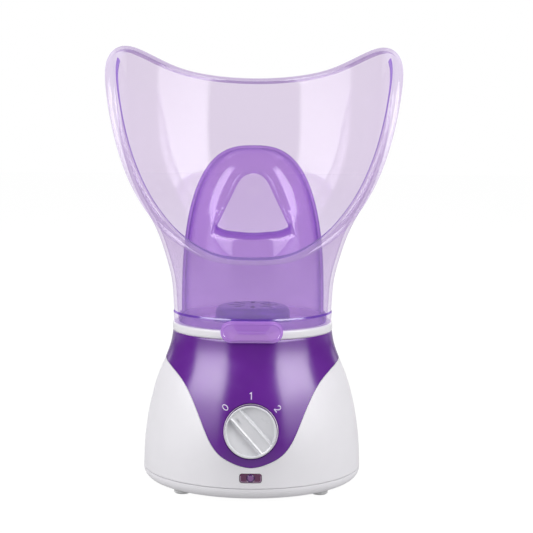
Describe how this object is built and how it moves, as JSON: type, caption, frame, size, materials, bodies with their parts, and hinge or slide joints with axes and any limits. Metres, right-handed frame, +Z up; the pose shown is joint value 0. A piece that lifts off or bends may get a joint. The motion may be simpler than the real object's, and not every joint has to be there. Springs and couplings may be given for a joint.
{
  "type": "facial steamer",
  "caption": "Table-top facial steamer with a bell-shaped body, rotary switch, heated water bowl, lift-off nose cone and flared see-through face hood.",
  "frame": {"origin": "on the table under the collar's axis, level with the soles of the feet", "axes": "+Z up, -Y towards the person using it (the knob's side), +X to the right seen from the front"},
  "size_m": [0.1804, 0.1532, 0.2664],
  "materials": {
    "hood": "clear tinted lilac, glossy",
    "nose": "clear tinted violet, glossy",
    "violet_panel": "deep violet, high gloss",
    "white_body": "white, gloss",
    "knob": "silver paint on plastic, gloss",
    "lens": "dark violet-red clear",
    "feet": "matte grey",
    "dark_plastic": "matte",
    "switch_case": "phenolic, matte",
    "white_plastic": "matte",
    "bright_steel": "zinc plated",
    "bowl_metal": "dark non-stick coating inside, bare outside",
    "spreader": "bare",
    "element_sheath": "heat-darkened",
    "silicone": "matte",
    "lamp_glass": "clear",
    "ceramic": "matte",
    "brown_wire": "PVC, satin",
    "blue_wire": "PVC, satin"
  },
  "bodies": {
    "housing": {"collar_ring": "white_body", "upper_housing": "violet_panel", "lower_housing": "white_body", "base_plate": "white_body", "foot_front_left": "feet", "foot_front_right": "feet", "foot_back_left": "feet", "foot_back_right": "feet", "switch_body": "switch_case", "switch_nut": "bright_steel", "indicator_lens": "lens", "neon_lamp": "lamp_glass", "lamp_sleeve": "dark_plastic", "water_bowl": "bowl_metal", "bowl_gasket": "silicone", "bowl_clamp": "bright_steel", "heater_element": "element_sheath", "heater_terminals": "bright_steel", "heater_plate": "spreader", "thermostat": "dark_plastic", "thermostat_bracket": "bright_steel", "bracket_nuts": "bright_steel", "thermal_fuse": "ceramic", "cord_gland": "white_plastic", "cord_clamp": "dark_plastic", "terminal_block": "white_plastic", "housing_screws": "bright_steel", "bowl_clamp_screws": "bright_steel", "cord_clamp_screws": "bright_steel", "wire_live": "brown_wire", "wire_neutral": "blue_wire", "wire_switched": "brown_wire", "wire_fuse": "brown_wire", "wire_heater": "brown_wire", "wire_lamp_live": "brown_wire", "wire_lamp_neutral": "blue_wire", "half_power_diode": "dark_plastic"},
    "hood": {"face_hood": "hood"},
    "nose": {"nose_cone": "nose"},
    "cap": {"steam_cap": "violet_panel"},
    "knob": {"control_knob": "knob", "switch_shaft": "bright_steel"}
  },
  "joints": [
    {"name": "hood_lift", "type": "slide", "parent": "housing", "child": "hood", "axis": [0, 0, 1], "range_m": [0, 0.13]},
    {"name": "nose_lift", "type": "slide", "parent": "housing", "child": "nose", "axis": [0, 0, 1], "range_m": [0, 0.18]},
    {"name": "cap_lift", "type": "slide", "parent": "housing", "child": "cap", "axis": [0, 0, 1], "range_m": [0, 0.02]},
    {"name": "knob_turn", "type": "hinge", "parent": "housing", "child": "knob", "pos_m": [0, -0.06382, 0.0422], "axis": [0, 0.9848, -0.1736], "range_deg": [0, 84]}
  ]
}
